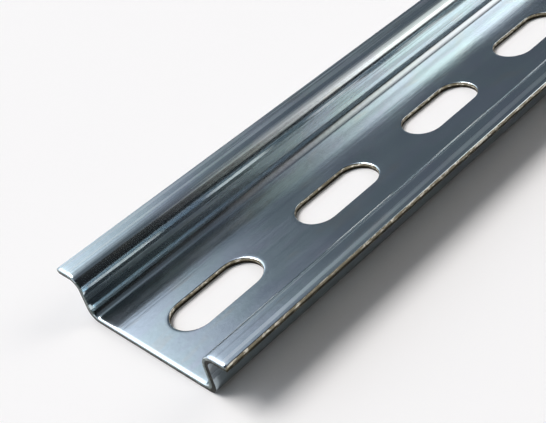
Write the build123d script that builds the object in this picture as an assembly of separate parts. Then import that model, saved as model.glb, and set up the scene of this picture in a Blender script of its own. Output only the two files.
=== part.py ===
from build123d import *
import os

# A top-hat mounting rail, the kind that terminal blocks, breakers and relays clip onto.
# It is one strip of cold-rolled steel: slots are punched along its middle, rolls bend it into
# a shallow channel with a lip turned outwards along each side, and it is cropped to length
# and zinc plated. Sizes are in millimetres. X runs along the rail, Y across it and Z up from
# the face that is screwed to a panel. The origin is the middle of that face.

# Section of the bent strip. Each bend's radius is the one on the inner side of the bend
overall_width = 35.0
overall_height = 7.5
channel_width = 27.0
strip_thickness = 1.0
base_bend_radius = 0.8
lip_bend_radius = 1.5

# The most of a lip's reach that its bend takes, so that a narrow lip still has a flat
lip_bend_most_share = 0.6

# Stock length, and the slots punched in the base
rail_length = 300.0
slot_length = 15.5
slot_width = 6.8
slot_pitch = 25.0
least_steel_past_slot = 3.0

# How much the tools ease the edges: the slit sides of the strip, the rim of each slot where
# the punch goes in, and the outline of each cropped end
slit_edge_radius = 0.2
punched_rim_ease = 0.15
cropped_end_ease = 0.1

# How far a cutter runs past each face that it goes through
cutter_overrun = 1.0

# Sizes that follow from those above
half_width = overall_width / 2
half_channel = channel_width / 2
lip_reach = half_width - half_channel
lip_underside_height = overall_height - strip_thickness
lip_underside_radius = min(lip_bend_radius, lip_reach * lip_bend_most_share)
outer_base_radius = base_bend_radius + strip_thickness
gap_between_slots = slot_pitch - slot_length
slot_count = int((rail_length + gap_between_slots - 2 * least_steel_past_slot) // slot_pitch)
most_ease = strip_thickness / 3


def bent_strip():
    """The whole strip, bent and still without slots, from its section pulled along X."""
    # The underside of the strip in section, from one lip's tip to the other's. It is the inside
    # of the two lip bends and the outside of the two base bends.
    underside = FilletPolyline(
        (-half_width, lip_underside_height),
        (-half_channel, lip_underside_height),
        (-half_channel, 0),
        (half_channel, 0),
        (half_channel, lip_underside_height),
        (half_width, lip_underside_height),
        radius=[lip_underside_radius, outer_base_radius, outer_base_radius, lip_underside_radius],
    )
    outline = underside.wire().offset_2d(strip_thickness, side=Side.LEFT, closed=True)
    section = Plane.YZ.offset(-rail_length / 2) * Face(outline)
    return extrude(section, amount=rail_length)


def slot_punches():
    """The punches for the row of slots, evenly spaced about the middle of the rail."""
    punch_height = strip_thickness + 2 * cutter_overrun
    one_slot = extrude(SlotOverall(slot_length, slot_width), amount=punch_height)
    row = GridLocations(slot_pitch, 0, slot_count, 1)
    return Pos(0, 0, -cutter_overrun) * row * one_slot


def slit_edges(rail):
    """The long edges on the outer side of each lip, where the strip was slit from its coil."""
    sides = rail.faces().sort_by(Axis.Y)
    return sides[0].edges().filter_by(Axis.X) + sides[-1].edges().filter_by(Axis.X)


def punched_rims(rail):
    """The upper rim of each slot. The channel's floor is the second lowest level face."""
    floor = rail.faces().filter_by(Axis.Z).sort_by(Axis.Z)[1]
    return [edge for rim in floor.inner_wires() for edge in rim.edges()]


def cropped_outlines(rail):
    """The outline of the section at each end."""
    ends = rail.faces().sort_by(Axis.X)
    return ends[0].edges() + ends[-1].edges()


rail = bent_strip() - slot_punches()
rail = fillet(slit_edges(rail), min(slit_edge_radius, most_ease))
rail = chamfer(punched_rims(rail), min(punched_rim_ease, most_ease))
rail = chamfer(cropped_outlines(rail), min(cropped_end_ease, most_ease))
rail.label = "rail"

os.makedirs("parts", exist_ok=True)
export_step(rail, "parts/rail.step")
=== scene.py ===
import math

import bmesh
import bpy
import numpy as np
from mathutils import Matrix, Vector


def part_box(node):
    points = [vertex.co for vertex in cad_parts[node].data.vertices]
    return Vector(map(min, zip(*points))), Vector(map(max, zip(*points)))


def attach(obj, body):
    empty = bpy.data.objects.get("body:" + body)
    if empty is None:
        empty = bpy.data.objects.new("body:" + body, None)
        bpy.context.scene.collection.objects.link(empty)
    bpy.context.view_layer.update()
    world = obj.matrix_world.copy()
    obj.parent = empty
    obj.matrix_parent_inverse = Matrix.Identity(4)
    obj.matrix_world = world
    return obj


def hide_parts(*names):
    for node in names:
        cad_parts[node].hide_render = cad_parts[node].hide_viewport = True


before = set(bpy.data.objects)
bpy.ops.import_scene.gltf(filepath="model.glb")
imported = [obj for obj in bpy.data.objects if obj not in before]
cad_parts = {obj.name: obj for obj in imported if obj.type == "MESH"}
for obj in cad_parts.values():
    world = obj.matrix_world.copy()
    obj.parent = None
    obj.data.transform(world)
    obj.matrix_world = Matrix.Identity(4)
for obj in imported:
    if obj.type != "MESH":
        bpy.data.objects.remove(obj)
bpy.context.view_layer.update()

mm = 0.001

# The rail
# One strip of cold-rolled steel, a millimetre thick. It is slit from a zinc-plated coil, punched
# with a row of slots, bent by rolls into a shallow channel with two lips, and cropped to length.
# It is meshed here flat and with its slots first, and then bent.
rail_low, rail_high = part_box("rail")
rail_length = rail_high.x - rail_low.x
rail_width = rail_high.y - rail_low.y
rail_height = rail_high.z - rail_low.z
channel_width = 27 * mm
strip_thickness = 1 * mm
base_bend_radius = 0.8 * mm
lip_bend_radius = 1.5 * mm

# The upper face starts to curve this far before and after a base bend
softened_by = 0.9 * mm

slot_length = 15.5 * mm
slot_width = 6.8 * mm
slot_pitch = 25 * mm
slot_count = int(rail_length / slot_pitch + 0.5)

# Along the middle of the strip's thickness, from the middle of the floor to the tip of a lip
base_bend_reach = base_bend_radius + strip_thickness
wall_height = rail_height - strip_thickness - lip_bend_radius - base_bend_reach
base_bend_at = channel_width / 2 - base_bend_reach
wall_at = base_bend_at + (base_bend_radius + strip_thickness / 2) * math.pi / 2
lip_bend_at = wall_at + wall_height
lip_at = lip_bend_at + (lip_bend_radius + strip_thickness / 2) * math.pi / 2
strip_half = lip_at + rail_width / 2 - channel_width / 2 - lip_bend_radius

# The tools leave each cut face in bands. The rim is pulled down, then comes a smooth burnished
# band, and below it the steel tears and leans back. Each row is a depth below the upper face and
# how far the metal stands back there, as shares of the thickness.
cut_depth_share = [0, 0.008, 0.03, 0.07, 0.13, 0.2, 0.5, 0.58, 0.7, 0.83, 0.955, 1]
punched_back_share = [0.2, 0.13, 0.075, 0.035, 0.01, 0, 0, 0.025, 0.04, 0.05, 0.055, 0.08]
slit_back_share = [0.16, 0.1, 0.055, 0.025, 0.008, 0, 0, 0.03, 0.05, 0.055, 0.07, 0.13]
cropped_back_share = [0.62, 0.45, 0.3, 0.15, 0.045, 0, 0, 0.03, 0.05, 0.06, 0.07, 0.1]
wiped_row = 3
deepest_rolled_row = 5
tear_row = 6
last_row = len(cut_depth_share) - 1

# Each band of a cut face is a finish, with its first and last row. The roll-over keeps its zinc
# only down to where the punch or the slitting knife wiped it off.
cut_bands = (
    ("plate", 0, wiped_row),
    ("burnish", wiped_row, tear_row),
    ("tear", tear_row, last_row),
)
cropped_level_bands = (
    ("plate", 0, deepest_rolled_row),
    ("cropped burnish", deepest_rolled_row, tear_row),
    ("cropped tear", tear_row, last_row),
)
cropped_wall_bands = (("cropped burnish", 0, tear_row), ("cropped tear", tear_row, last_row))

# The tear starts at an uneven depth. The punch pulls the rim down further round a slot's ends,
# and the shears pull it down only where the strip lies level under them.
tear_waver = 0.035 * strip_thickness
tear_waver_lengths = (3.1 * mm, 4.7 * mm, 7.3 * mm)
slot_side_pull_share = 0.6
slot_end_pull_share = 2.6
wall_pull_share = 0.06

# The slotted band in the middle of the floor has one cell for each slot. Its outline is joined
# to the edge of its cell by rings that widen from one to the other.
slot_radius = slot_width / 2
slot_straight = slot_length / 2 - slot_radius
cell_half_length = slot_pitch / 2
cell_half_width = 6 * mm
straight_steps = 6
corner_steps = 7
end_steps = 5
ring_share = [0, 0.06, 0.16, 0.32, 0.56, 1]

# Points of neighbouring patches that lie closer than this are sewn into one
sewing_gap = 0.0005 * mm


def stations(spans):
    """Places along a line, from spans of (start, end, steps)."""
    places = [np.linspace(start, end, steps, endpoint=False) for start, end, steps in spans]
    return np.append(np.concatenate(places), spans[-1][1])


across_half = stations([
    (cell_half_width, base_bend_at - softened_by, 4),
    (base_bend_at - softened_by, base_bend_at, 4),
    (base_bend_at, wall_at, 12),
    (wall_at, wall_at + softened_by, 4),
    (wall_at + softened_by, lip_bend_at, 4),
    (lip_bend_at, lip_at, 18),
    (lip_at, strip_half, 4),
])
half_cell = stations([
    (-cell_half_length, -slot_straight, corner_steps),
    (-slot_straight, slot_straight, straight_steps),
    (slot_straight, cell_half_length, corner_steps),
])
slot_middles = [(i - (slot_count - 1) / 2) * slot_pitch for i in range(slot_count)]
along = np.unique(np.round(np.concatenate([middle + half_cell for middle in slot_middles]), 9))


def cell_quarter():
    """A quarter of a slot's outline, from the middle of its side to its end, and the matching
    places on the edge of its cell."""
    beside = [(x, slot_radius) for x in np.linspace(0, slot_straight, straight_steps // 2 + 1)]
    turns = np.linspace(math.pi / 2, 0, corner_steps + end_steps + 1)[1:]
    round_end = [(slot_straight + slot_radius * math.cos(a), slot_radius * math.sin(a)) for a in turns]
    side = [(x, cell_half_width) for x, _ in beside]
    corner = np.linspace(slot_straight, cell_half_length, corner_steps + 1)[1:]
    side += [(x, cell_half_width) for x in corner]
    end = [(cell_half_length, s) for s in np.linspace(cell_half_width, 0, end_steps + 1)[1:]]
    return np.array(beside + round_end), np.array(side + end)


def whole_round(quarter):
    """A closed outline from its first quarter, mirrored twice."""
    back = quarter[::-1][1:]
    half = np.concatenate([quarter, back * (1, -1)])
    return np.concatenate([half, half[::-1][1:] * (-1, 1)])


def slot_outline(level):
    """A slot's outline at one depth of the cut, where the metal stands back from the punch."""
    outline = whole_round(cell_quarter()[0])
    spine = np.clip(outline[:, 0], -slot_straight, slot_straight)
    outward = (outline - np.column_stack([spine, np.zeros(len(spine))])) / slot_radius
    pull = np.ones((len(outline), 1))
    if level <= deepest_rolled_row:
        roundness = outward[:, :1] ** 2
        pull = slot_side_pull_share + (slot_end_pull_share - slot_side_pull_share) * roundness
    return outline + outward * pull * punched_back_share[level] * strip_thickness


def on_strip(points, level):
    """Flat points at one depth of a cut, kept within the strip's cropped ends and slit sides."""
    x, s = points[..., 0], points[..., 1]
    side_back = slit_back_share[level] * strip_thickness
    end_back = cropped_back_share[level] * strip_thickness
    if level <= deepest_rolled_row:
        into_wall = np.clip((np.abs(s) - base_bend_at) / (wall_at - base_bend_at), 0, 1)
        out_of_wall = np.clip((lip_at - np.abs(s)) / (lip_at - lip_bend_at), 0, 1)
        on_wall = np.minimum(into_wall, out_of_wall)
        end_back = end_back * (1 - (1 - wall_pull_share) * on_wall)
    depth = np.full(x.shape, cut_depth_share[level] * strip_thickness)
    if level == tear_row:
        for i, length in enumerate(tear_waver_lengths):
            wave = np.sin(2 * math.pi * (x + s) / length + i)
            depth += tear_waver / len(tear_waver_lengths) * wave
    x = np.clip(x, -rail_length / 2 + end_back, rail_length / 2 - end_back)
    s = np.clip(s, -strip_half + side_back, strip_half - side_back)
    return np.stack([x, s, depth], axis=-1)


def cut_face(bands, outline_at):
    """The bands of a cut face, each as rows of points, with one row for each depth."""
    for finish, first, last in bands:
        levels = range(first, last + 1)
        yield finish, np.array([on_strip(outline_at(level), level) for level in levels])


def strip_patches():
    """Every face of the flat strip, as grids of points (along, across, depth) with their finish."""
    cell_edge = whole_round(cell_quarter()[1])
    for level, finish in ((0, "plate"), (last_row, "outer plate")):
        for side in (-1, 1):
            grid = np.stack(np.meshgrid(along, side * across_half, indexing="ij"), axis=-1)
            yield finish, on_strip(grid, level)
        rings = [(1 - share) * slot_outline(level) + share * cell_edge for share in ring_share]
        for middle in slot_middles:
            yield finish, on_strip(np.array(rings) + (middle, 0), level)

    for side in (-1, 1):
        edge = np.column_stack([along, np.full(len(along), side * strip_half)])
        yield from cut_face(cut_bands, lambda level: edge)
    for middle in slot_middles:
        yield from cut_face(cut_bands, lambda level: slot_outline(level) + (middle, 0))

    # A cropped end is cut across the level floor and lips, and down along the walls. The cut
    # changes from one to the other in the middle of each bend.
    cell_end = np.linspace(-cell_half_width, cell_half_width, 2 * end_steps + 1)[1:-1]
    across = np.concatenate([-across_half[::-1], cell_end, across_half])
    base_bend_middle = (base_bend_at + wall_at) / 2
    lip_bend_middle = (lip_bend_at + lip_at) / 2
    half_turns = [base_bend_middle, lip_bend_middle, strip_half]
    turns = [-s for s in reversed(half_turns)] + half_turns
    for i, (start, end) in enumerate(zip(turns, turns[1:])):
        run = across[(across > start - sewing_gap) & (across < end + sewing_gap)]
        bands = cropped_wall_bands if i % 2 else cropped_level_bands
        for side in (-1, 1):
            edge = np.column_stack([np.full(len(run), side * rail_length / 2), run])
            yield from cut_face(bands, lambda level: edge)


def section_line(s, wall_y, floor_z, base_radius, lip_radius, softened):
    """One face of the bent strip in section, as y and z at distances s across the flat strip."""
    bend_from, bend_to = base_bend_at - softened, wall_at + softened
    base_turn = (s - bend_from) / (bend_to - bend_from) * math.pi / 2
    lip_turn = (s - lip_bend_at) / (lip_at - lip_bend_at) * math.pi / 2
    lip_bend_z = base_bend_reach + wall_height
    stretch = [s < bend_from, s < bend_to, s < lip_bend_at, s < lip_at, s >= lip_at]
    y = np.select(stretch, [
        s,
        wall_y - base_radius * (1 - np.sin(base_turn)),
        wall_y,
        wall_y + lip_radius * (1 - np.cos(lip_turn)),
        wall_y + lip_radius + s - lip_at,
    ])
    z = np.select(stretch, [
        floor_z,
        floor_z + base_radius * (1 - np.cos(base_turn)),
        base_bend_reach + s - wall_at,
        lip_bend_z + lip_radius * np.sin(lip_turn),
        lip_bend_z + lip_radius,
    ])
    return np.array([y, z])


def bent(flat):
    """Where the rolls take points of the flat strip. A point keeps its place along the rail."""
    x, s, depth = flat.T
    outside = channel_width / 2
    below = section_line(abs(s), outside, 0, base_bend_radius + strip_thickness, lip_bend_radius, 0)
    above = section_line(
        abs(s),
        outside - strip_thickness,
        strip_thickness,
        base_bend_radius + softened_by,
        lip_bend_radius + strip_thickness,
        softened_by,
    )
    y, z = above + (below - above) * depth / strip_thickness
    return np.column_stack([x, np.where(s < 0, -y, y), z])


# The rail's finishes, in the order of its materials
finishes = ["plate", "outer plate", "burnish", "tear", "cropped burnish", "cropped tear"]


def rail_mesh():
    """The bent rail, its patches sewn into one closed surface."""
    mesh = bmesh.new()
    for finish, grid in strip_patches():
        rows, columns = grid.shape[:2]
        points = bent(grid.reshape(-1, 3))
        verts = [mesh.verts.new(p) for p in points]
        index = finishes.index(finish)
        for i in range(rows - 1):
            for j in range(columns - 1):
                here = i * columns + j
                after = here + columns
                face = mesh.faces.new([verts[here], verts[here + 1], verts[after + 1], verts[after]])
                face.material_index = index
                face.smooth = True
    bmesh.ops.remove_doubles(mesh, verts=mesh.verts, dist=sewing_gap)
    bmesh.ops.recalc_face_normals(mesh, faces=mesh.faces)
    made = bpy.data.meshes.new("rail_strip")
    mesh.to_mesh(made)
    mesh.free()
    return made


rail = bpy.data.objects.new("rail_strip", rail_mesh())
bpy.context.scene.collection.objects.link(rail)

# Normals that follow the large faces keep each flat evenly lit right up to its bends
weighted = rail.modifiers.new("flats stay flat", "WEIGHTED_NORMAL")
weighted.weight = 100


def srgb(code):
    """An sRGB hex colour as linear red, green, blue and alpha."""
    shares = [int(code[i:i + 2], 16) / 255 for i in (1, 3, 5)]
    linear = [c / 12.92 if c <= 0.04045 else ((c + 0.055) / 1.055) ** 2.4 for c in shares]
    return (*linear, 1)


def add(tree, kind, inputs, **settings):
    """Adds a node with its settings, gives its inputs their values or links, and returns its
    first output that is in use."""
    node = tree.nodes.new(kind)
    for name, value in settings.items():
        setattr(node, name, value)
    for name, value in inputs.items():
        if isinstance(value, bpy.types.NodeSocket):
            tree.links.new(value, node.inputs[name])
        else:
            node.inputs[name].default_value = value
    return next((out for out in node.outputs if out.enabled), None)


def new_material(name):
    """A material with no nodes yet, and its node tree."""
    material = bpy.data.materials.new(name)
    material.use_nodes = True
    material.node_tree.nodes.clear()
    return material, material.node_tree


def pattern(tree, place, size, detail):
    """An uneven pattern whose features have a real size (along, across, up) on the object."""
    place = add(tree, "ShaderNodeVectorMath", {0: place, 1: size}, operation="DIVIDE")
    return add(tree, "ShaderNodeTexNoise", {"Vector": place, "Scale": 1, "Detail": detail})


def bright_zinc(name, brightness):
    """Zinc from a bright plating bath, under a clear blue chromium passivate. The film is thin
    enough to tint the metal blue, violet or straw from place to place. The cold-rolled steel's
    grain shows through along the strip, and the forming rolls leave lines on what they bend."""
    material, tree = new_material(name)
    place = add(tree, "ShaderNodeTexCoord", {}).node.outputs["Object"]
    at = add(tree, "ShaderNodeSeparateXYZ", {"Vector": place}).node.outputs
    across = add(tree, "ShaderNodeMath", {0: at["Y"]}, operation="ABSOLUTE")

    # The film is blue at first. Each further tint covers it up to some share, as an uneven
    # pattern goes from one level to another.
    film = pattern(tree, place, (11 * mm, 5 * mm, 5 * mm), 2)
    thin_film = pattern(tree, place, (7 * mm, 2.5 * mm, 2.5 * mm), 2)
    colour = srgb("#d3dfe9")
    for tint, most, uneven, start, end in (
        ("#d2e2e7", 1, film, 0.4, 0.6),
        ("#d6d8e7", 0.4, thin_film, 0.55, 0.75),
        ("#dcdcd8", 0.35, thin_film, 0.42, 0.28),
    ):
        share = add(tree, "ShaderNodeMapRange", {
            "Value": uneven, "From Min": start, "From Max": end, "To Max": most,
        }, interpolation_type="SMOOTHSTEP")
        colour = add(tree, "ShaderNodeMixRGB", {"Fac": share, "Color1": colour, "Color2": srgb(tint)})

    # The grain of cold-rolled sheet is some hundredths of a millimetre wide, which is too fine
    # to show, so it is drawn ten times as wide. Handling has made the zinc rougher in places.
    grain = pattern(tree, place, (16 * mm, 0.5 * mm, 0.5 * mm), 3)
    worn = pattern(tree, place, (9 * mm, 4 * mm, 4 * mm), 3)
    roughness = add(tree, "ShaderNodeMath", {0: grain, 1: 0.1, 2: 0.07}, operation="MULTIPLY_ADD")
    roughness = add(tree, "ShaderNodeMath", {0: worn, 1: 0.12, 2: roughness}, operation="MULTIPLY_ADD")

    # The rolls press lines into the bends, the walls and the lips, and hardly any into the floor.
    # What stands up between the lines they rub rougher and a little darker.
    rolled_from = base_bend_at - 0.8 * mm
    rubbed_most = 0.16
    roll_lines = pattern(tree, place, (160 * mm, 1.15 * mm, 1.15 * mm), 2)
    formed = add(tree, "ShaderNodeMapRange", {
        "Value": across, "From Min": rolled_from, "From Max": wall_at, "To Min": 0.1,
    }, interpolation_type="SMOOTHSTEP")
    pressed = add(tree, "ShaderNodeMath", {0: roll_lines, 1: formed}, operation="MULTIPLY")
    rubbed = add(tree, "ShaderNodeMapRange", {
        "Value": roll_lines, "From Min": 0.5, "From Max": 0.62, "To Max": rubbed_most,
    }, interpolation_type="SMOOTHSTEP")
    rubbed = add(tree, "ShaderNodeMath", {0: rubbed, 1: formed}, operation="MULTIPLY")
    roughness = add(tree, "ShaderNodeMath", {0: roughness, 1: rubbed}, operation="ADD")
    shade = add(tree, "ShaderNodeMapRange", {
        "Value": rubbed, "From Max": rubbed_most, "To Min": 1, "To Max": 0.82,
    }, interpolation_type="SMOOTHSTEP")
    colour = add(tree, "ShaderNodeVectorMath", {0: colour, "Scale": shade}, operation="SCALE")

    # Inside the base bends, the low places that face halfway between level and upright, the colour is
    # darkened to paint shade into the crease. Brightness scales the whole colour, and is below 1 only
    # for painted shade on the outer faces.
    facing = add(tree, "ShaderNodeNewGeometry", {}).node.outputs["Normal"]
    facing = add(tree, "ShaderNodeSeparateXYZ", {"Vector": facing}).node.outputs
    tilted = add(tree, "ShaderNodeMath", {0: facing["Y"], 1: facing["Z"]}, operation="MULTIPLY")
    tilted = add(tree, "ShaderNodeMath", {0: tilted}, operation="ABSOLUTE")
    low = add(tree, "ShaderNodeMapRange", {
        "Value": at["Z"], "From Min": 2.2 * mm, "From Max": 3.5 * mm, "To Min": 1, "To Max": 0,
    }, interpolation_type="SMOOTHSTEP")
    painted_crease_shade = add(tree, "ShaderNodeMath", {0: tilted, 1: low}, operation="MULTIPLY")
    shade = add(tree, "ShaderNodeMapRange", {
        "Value": painted_crease_shade,
        "From Min": 0.15,
        "From Max": 0.45,
        "To Min": brightness,
        "To Max": 0.68 * brightness,
    }, interpolation_type="SMOOTHSTEP")
    colour = add(tree, "ShaderNodeVectorMath", {0: colour, "Scale": shade}, operation="SCALE")

    # The plating bath leaves a slight mottle over the grain
    mottle = pattern(tree, place, (1.1 * mm, 0.7 * mm, 0.7 * mm), 2)
    relief = add(tree, "ShaderNodeBump", {"Height": grain, "Distance": 0.009 * mm})
    relief = add(tree, "ShaderNodeBump", {"Height": mottle, "Distance": 0.008 * mm, "Normal": relief})
    relief = add(tree, "ShaderNodeBump", {"Height": pressed, "Distance": 0.17 * mm, "Normal": relief})
    metal = add(tree, "ShaderNodeBsdfPrincipled", {
        "Base Color": colour, "Metallic": 1, "Roughness": roughness, "Normal": relief,
    })
    add(tree, "ShaderNodeOutputMaterial", {"Surface": metal})
    return material


def sheared_steel(name, steel, bright, bright_from, roughness, score_depth):
    """Bare steel where a tool cut it, a little tarnished. Flecks of brighter metal are left where
    the zinc and the steel smeared along the cut."""
    fleck_edge = 0.12
    material, tree = new_material(name)
    place = add(tree, "ShaderNodeTexCoord", {}).node.outputs["Object"]
    flecks = pattern(tree, place, (0.9 * mm, 0.9 * mm, 0.3 * mm), 3)
    share = add(tree, "ShaderNodeMapRange", {
        "Value": flecks, "From Min": bright_from, "From Max": bright_from + fleck_edge,
    }, interpolation_type="SMOOTHSTEP")
    colour = add(tree, "ShaderNodeMixRGB", {"Fac": share, "Color1": srgb(steel), "Color2": srgb(bright)})

    # The tool scores the cut through its thickness
    score = pattern(tree, place, (0.25 * mm, 0.25 * mm, 1.2 * mm), 2)
    shade = add(tree, "ShaderNodeMapRange", {
        "Value": score, "From Min": 0.3, "From Max": 0.7, "To Min": 0.7, "To Max": 1.2,
    }, interpolation_type="SMOOTHSTEP")
    colour = add(tree, "ShaderNodeVectorMath", {0: colour, "Scale": shade}, operation="SCALE")
    relief = add(tree, "ShaderNodeBump", {"Height": score, "Distance": score_depth})
    metal = add(tree, "ShaderNodeBsdfPrincipled", {
        "Base Color": colour, "Metallic": 1, "Roughness": roughness, "Normal": relief,
    })
    add(tree, "ShaderNodeOutputMaterial", {"Surface": metal})
    return material


# The outer faces take the same zinc at half its brightness, which is painted shade, dark as under the
# near lip.
# The cuts round the slots and along the slit sides are warmer and paler than the cropped ends.
for material in (
    bright_zinc("bright_zinc_blue_passivate", 1),
    bright_zinc("painted_shade_zinc_blue_passivate", 0.5),
    sheared_steel("burnished_steel", "#8c8470", "#e9e4d5", 0.5, 0.4, 0.03 * mm),
    sheared_steel("torn_steel", "#3a362c", "#7a7565", 0.56, 0.6, 0.06 * mm),
    sheared_steel("cropped_steel", "#5f6b69", "#99a19f", 0.55, 0.4, 0.02 * mm),
    sheared_steel("cropped_torn_steel", "#32322e", "#5a5a54", 0.6, 0.6, 0.05 * mm),
):
    rail.data.materials.append(material)

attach(rail, "root")
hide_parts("rail")

# The floor and the backdrop
# A round sheet of white paper, level under the rail. Five metres out it turns up into a low rim,
# as a photographer's paper does.
floor_radius = 5.0
backdrop_height = 0.3
cove_radius = 0.25
paper_rings = (0.1, 0.25, 0.6, 1.5, 3.0)
paper_sides = 96
cove_steps = 12


def cove_mesh():
    """Rings of paper round a middle point, the last ones turned up through a quarter circle."""
    mesh = bmesh.new()
    turns = np.linspace(0, math.pi / 2, cove_steps + 1)
    flat_end = floor_radius - cove_radius
    profile = [(r, 0) for r in paper_rings]
    profile += [(flat_end + cove_radius * math.sin(a), cove_radius * (1 - math.cos(a))) for a in turns]
    profile += [(floor_radius, backdrop_height)]
    angles = np.linspace(0, 2 * math.pi, paper_sides, endpoint=False)
    spokes = [(math.cos(a), math.sin(a)) for a in angles]
    rings = [[mesh.verts.new((r * x, r * y, z)) for x, y in spokes] for r, z in profile]
    centre = mesh.verts.new((0, 0, 0))
    for k in range(paper_sides):
        after = (k + 1) % paper_sides
        mesh.faces.new([centre, rings[0][k], rings[0][after]])
        for low, high in zip(rings, rings[1:]):
            mesh.faces.new([low[k], high[k], high[after], low[after]])
    for face in mesh.faces:
        face.smooth = True
    bmesh.ops.recalc_face_normals(mesh, faces=mesh.faces)
    made = bpy.data.meshes.new("paper_cove")
    mesh.to_mesh(made)
    mesh.free()
    return made


def white_paper():
    """Uncoated white paper, matt all over, on which the rail leaves a soft shadow."""
    material, tree = new_material("white_paper")
    paper = add(tree, "ShaderNodeBsdfPrincipled", {
        "Base Color": srgb("#f4f4f4"),
        "Roughness": 0.95,
        "Specular IOR Level": 0,
    })
    add(tree, "ShaderNodeOutputMaterial", {"Surface": paper})
    return material


cove = bpy.data.objects.new("paper_cove", cove_mesh())
bpy.context.scene.collection.objects.link(cove)
cove.data.materials.append(white_paper())

# The light
# Soft light from a window on the far side of the rail and one past its far end, a lamp high on
# the far side, and a dim room on the camera's side, which is what keeps the far wall dark.
world = bpy.data.worlds.new("studio")
bpy.context.scene.world = world
world.use_nodes = True
sky = world.node_tree
sky.nodes.clear()
direction = add(sky, "ShaderNodeTexCoord", {}).node.outputs["Generated"]
axes = add(sky, "ShaderNodeSeparateXYZ", {"Vector": direction}).node.outputs
azimuth = add(sky, "ShaderNodeMath", {0: axes["Y"], 1: axes["X"]}, operation="ARCTAN2")
elevation = add(sky, "ShaderNodeMath", {0: axes["Z"]}, operation="ARCSINE")

# In a long straight rail a direction shows by two angles. Its lean towards the rail's end is the
# same after any number of reflections, and its turn about the rail is counted from the near side.
lean = add(sky, "ShaderNodeMath", {0: axes["X"]}, operation="ARCSINE")
nearward = add(sky, "ShaderNodeMath", {0: axes["Y"], 1: -1.0}, operation="MULTIPLY")
about_rail = add(sky, "ShaderNodeMath", {0: axes["Z"], 1: nearward}, operation="ARCTAN2")


def region(*sides):
    """How far a direction lies in a region of the surroundings, from 0 to 1. Each side of the
    region is an angle, and the degrees at which the region starts and is full."""
    share = 1
    for angle, start, full in sides:
        inside = add(sky, "ShaderNodeMapRange", {
            "Value": angle, "From Min": math.radians(start), "From Max": math.radians(full),
        }, interpolation_type="SMOOTHSTEP")
        share = add(sky, "ShaderNodeMath", {0: share, 1: inside}, operation="MULTIPLY")
    return share


def lit(under, share, colour, strength):
    """Adds light of one colour and strength where share is 1."""
    glow = add(sky, "ShaderNodeVectorMath", {0: srgb(colour)[:3], "Scale": strength}, operation="SCALE")
    part = add(sky, "ShaderNodeVectorMath", {0: glow, "Scale": share}, operation="SCALE")
    return add(sky, "ShaderNodeVectorMath", {0: under, 1: part}, operation="ADD")


dim_side = region((azimuth, -40, -50), (azimuth, -175, -145), (elevation, 70, 58))
room_level = add(sky, "ShaderNodeMapRange", {"Value": dim_side, "To Min": 0.125, "To Max": 0.013})
room = {0: srgb("#e0edff")[:3], "Scale": room_level}
light = add(sky, "ShaderNodeVectorMath", room, operation="SCALE")
wall_beside_window = region((lean, 30, 12), (about_rail, 80, 140))
light = lit(light, wall_beside_window, "#dcecff", 0.45)
far_window = region((lean, 27, 8), (lean, -60, -30), (about_rail, 80, 140))
light = lit(light, far_window, "#fcfcff", 1.0)
end_window = region((lean, 29, 42), (lean, 70, 56), (about_rail, 24, 36), (about_rail, 98, 68))
light = lit(light, end_window, "#fdf5ec", 2.15)
lamp = region((lean, 7, 1), (lean, -28, -18), (about_rail, 98, 110), (about_rail, 138, 126))
light = lit(light, lamp, "#fffaf6", 9.8)
shader = add(sky, "ShaderNodeBackground", {"Color": light, "Strength": 1})
add(sky, "ShaderNodeOutputWorld", {"Surface": shader})

# The camera
# It stands where the photograph was taken from, worked out from the slots, the lips and the
# cropped end in a frame 546 pixels wide. Its three turns are in radians.
frame_width_px = 546
focal_length_px = 1003.57
lens_data = bpy.data.cameras.new("camera")
lens_data.lens = focal_length_px * lens_data.sensor_width / frame_width_px
camera_from_end = Vector((-41.12, -92.03, 86.48)) * mm
yaw, pitch, roll = 0.9455, 0.6168, -0.2849
ahead = Vector((math.cos(pitch) * math.cos(yaw), math.cos(pitch) * math.sin(yaw), -math.sin(pitch)))
level_right = Vector((math.sin(yaw), -math.cos(yaw), 0))
level_up = level_right.cross(ahead)
right = math.cos(roll) * level_right + math.sin(roll) * level_up
up = math.cos(roll) * level_up - math.sin(roll) * level_right
camera = bpy.data.objects.new("camera", lens_data)
bpy.context.scene.collection.objects.link(camera)
stand = Vector((rail_low.x, 0, 0)) + camera_from_end
camera.matrix_world = Matrix.Translation(stand) @ Matrix((right, up, -ahead)).transposed().to_4x4()
lens_data.clip_start = 10 * mm
lens_data.clip_end = 20
bpy.context.scene.camera = camera
bpy.context.scene.view_settings.view_transform = "Standard"
